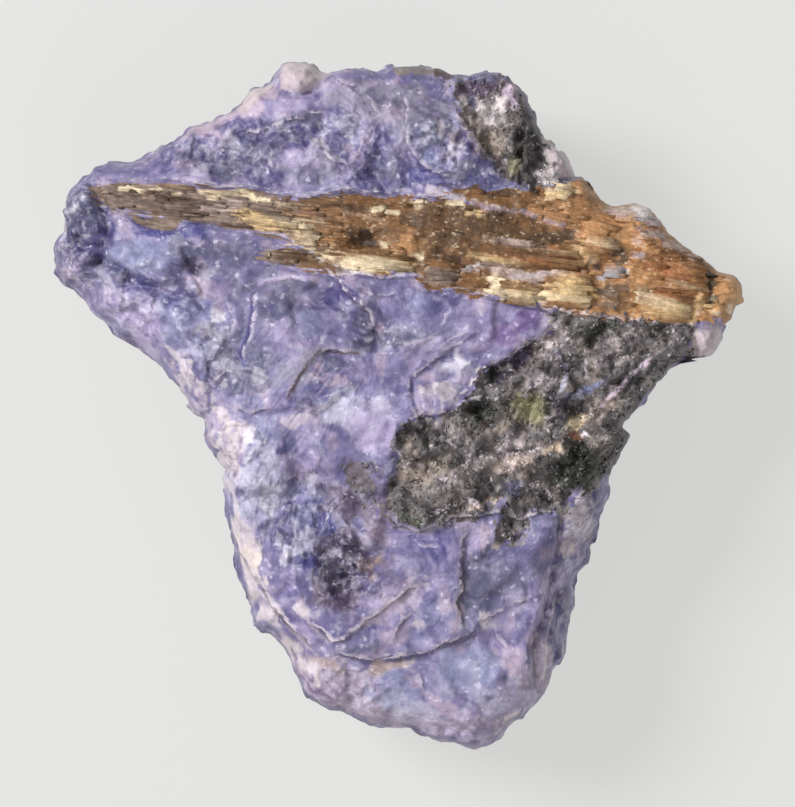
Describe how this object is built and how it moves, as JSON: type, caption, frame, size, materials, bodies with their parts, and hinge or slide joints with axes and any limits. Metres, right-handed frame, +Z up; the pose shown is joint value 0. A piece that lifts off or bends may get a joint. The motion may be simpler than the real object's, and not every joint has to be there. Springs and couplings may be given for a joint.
{
  "type": "charoite specimen",
  "caption": "Broken hand piece of violet charoite lying on its back, crossed by a honey-brown tinaksite band, with dark aegirine masses.",
  "frame": {"origin": "on the surface that the stone lies on, under the middle of its outline", "axes": "+Z up, out of the show face; +X to the right along the brown band, towards its honey-coloured tip; +Y towards the broad end of the show face"},
  "size_m": [0.0904, 0.0902, 0.0335],
  "materials": {
    "violet_charoite": "broken natural stone, half dull with a soft silky sheen, violet with lilac fibres; honey-brown blades and dark grains are grown into it"
  },
  "bodies": {
    "root": {"charoite_stone": "violet_charoite"}
  },
  "joints": []
}
